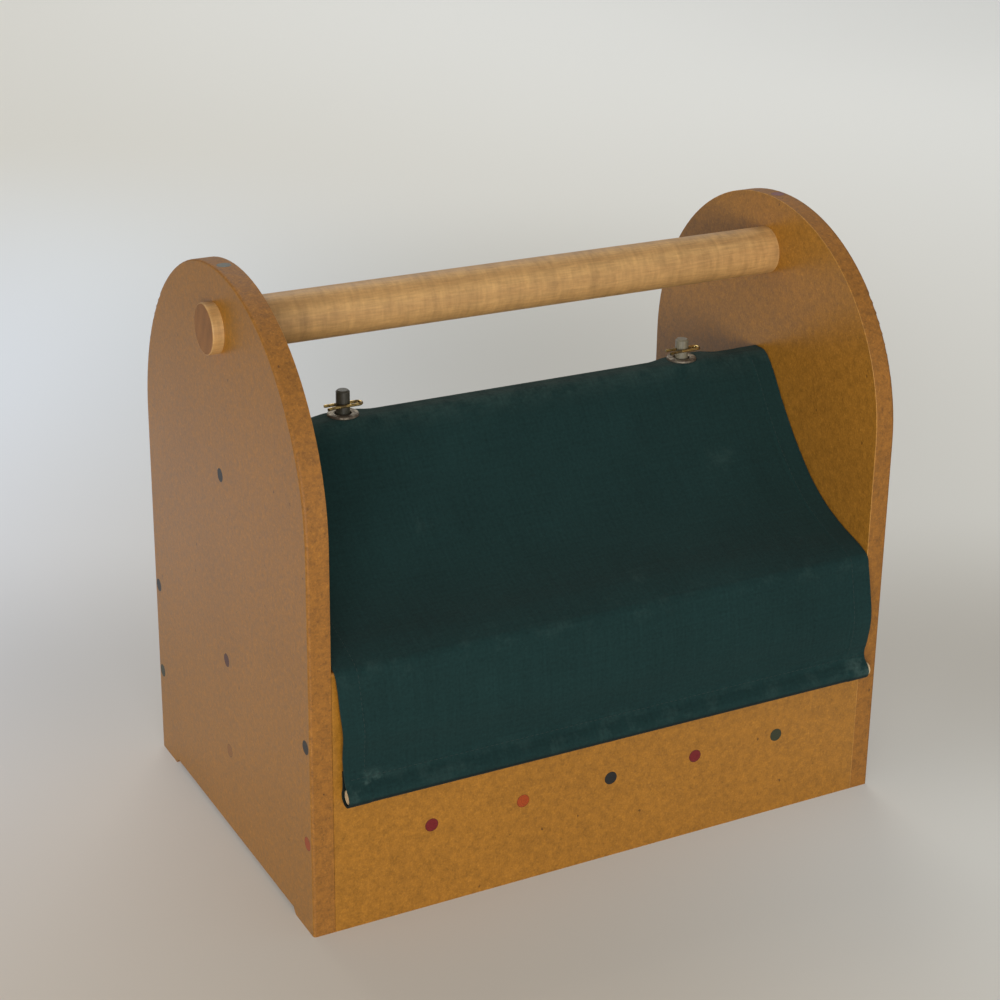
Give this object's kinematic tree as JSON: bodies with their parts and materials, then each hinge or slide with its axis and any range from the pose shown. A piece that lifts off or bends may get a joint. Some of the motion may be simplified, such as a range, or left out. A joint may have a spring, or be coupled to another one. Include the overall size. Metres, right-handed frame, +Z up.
{
  "type": "bobbin box",
  "caption": "Carrying box of pegged fibreboard with arched ends, a round handle, a centre divider and a canvas saddle cover whose weighted flaps close both sides.",
  "frame": {"origin": "on the floor under the middle of the box", "axes": "+X along the handle, -Y the front that the picture shows, +Z up"},
  "size_m": [0.381, 0.2618, 0.345],
  "materials": {
    "board": "oiled fibreboard, satin",
    "handle_wood": "smooth pale hardwood, oiled",
    "hem_wood": "bare pale wood",
    "canvas": "heavy plain-weave cotton canvas, matt",
    "brass": "worn bright wire",
    "grommet_metal": "aged, dull",
    "post_charcoal": "stained dowel",
    "post_grey": "stained dowel",
    "peg_red": "stained dowel end",
    "peg_orange": "stained dowel end",
    "peg_slate": "stained dowel end",
    "peg_green": "stained dowel end",
    "peg_tan": "stained dowel end",
    "peg_brown": "stained dowel end"
  },
  "bodies": {
    "box": {"end_panel_left": "board", "end_panel_right": "board", "front_panel": "board", "back_panel": "board", "bottom_board": "board", "divider": "board", "handle": "handle_wood", "handle_pin_left": "peg_green", "handle_pin_right": "peg_red", "peg_left_front_low": "peg_orange", "peg_left_front_mid": "peg_slate", "peg_left_centre_low": "peg_tan", "peg_left_centre_mid": "peg_brown", "peg_left_centre_top": "peg_slate", "peg_left_back_low": "peg_green", "peg_left_back_mid": "peg_slate", "peg_right_front_low": "peg_green", "peg_right_front_mid": "peg_red", "peg_right_centre_low": "peg_orange", "peg_right_centre_mid": "peg_slate", "peg_right_centre_top": "peg_brown", "peg_right_back_low": "peg_tan", "peg_right_back_mid": "peg_slate", "peg_front_1": "peg_red", "peg_front_2": "peg_orange", "peg_front_3": "peg_slate", "peg_front_4": "peg_red", "peg_front_5": "peg_green", "peg_back_1": "peg_slate", "peg_back_2": "peg_orange", "peg_back_3": "peg_red", "peg_back_4": "peg_green", "peg_back_5": "peg_tan", "cover_post_left": "post_charcoal", "cover_post_right": "post_grey"},
    "cover": {"cover_saddle": "canvas", "grommet_left": "grommet_metal", "grommet_right": "grommet_metal", "grommet_washer_left": "grommet_metal", "grommet_washer_right": "grommet_metal"},
    "front_flap": {"cover_front_flap": "canvas", "hem_rod_front": "hem_wood"},
    "back_flap": {"cover_back_flap": "canvas", "hem_rod_back": "hem_wood"},
    "clip_left": {"hairpin_clip_left": "brass"},
    "clip_right": {"hairpin_clip_right": "brass"}
  },
  "joints": [
    {"name": "cover_lift", "type": "slide", "parent": "box", "child": "cover", "axis": [0, 0, 1], "range_m": [0, 0.004]},
    {"name": "front_flap_lift", "type": "hinge", "parent": "cover", "child": "front_flap", "pos_m": [0, -0.01262, 0.24571], "axis": [-1, 0, 0], "range_deg": [0, 100]},
    {"name": "back_flap_lift", "type": "hinge", "parent": "cover", "child": "back_flap", "pos_m": [0, 0.01262, 0.24571], "axis": [1, 0, 0], "range_deg": [0, 100]},
    {"name": "clip_left_pull", "type": "slide", "parent": "box", "child": "clip_left", "axis": [1, 0, 0], "range_m": [0, 0.02]},
    {"name": "clip_right_pull", "type": "slide", "parent": "box", "child": "clip_right", "axis": [1, 0, 0], "range_m": [0, 0.02]}
  ]
}
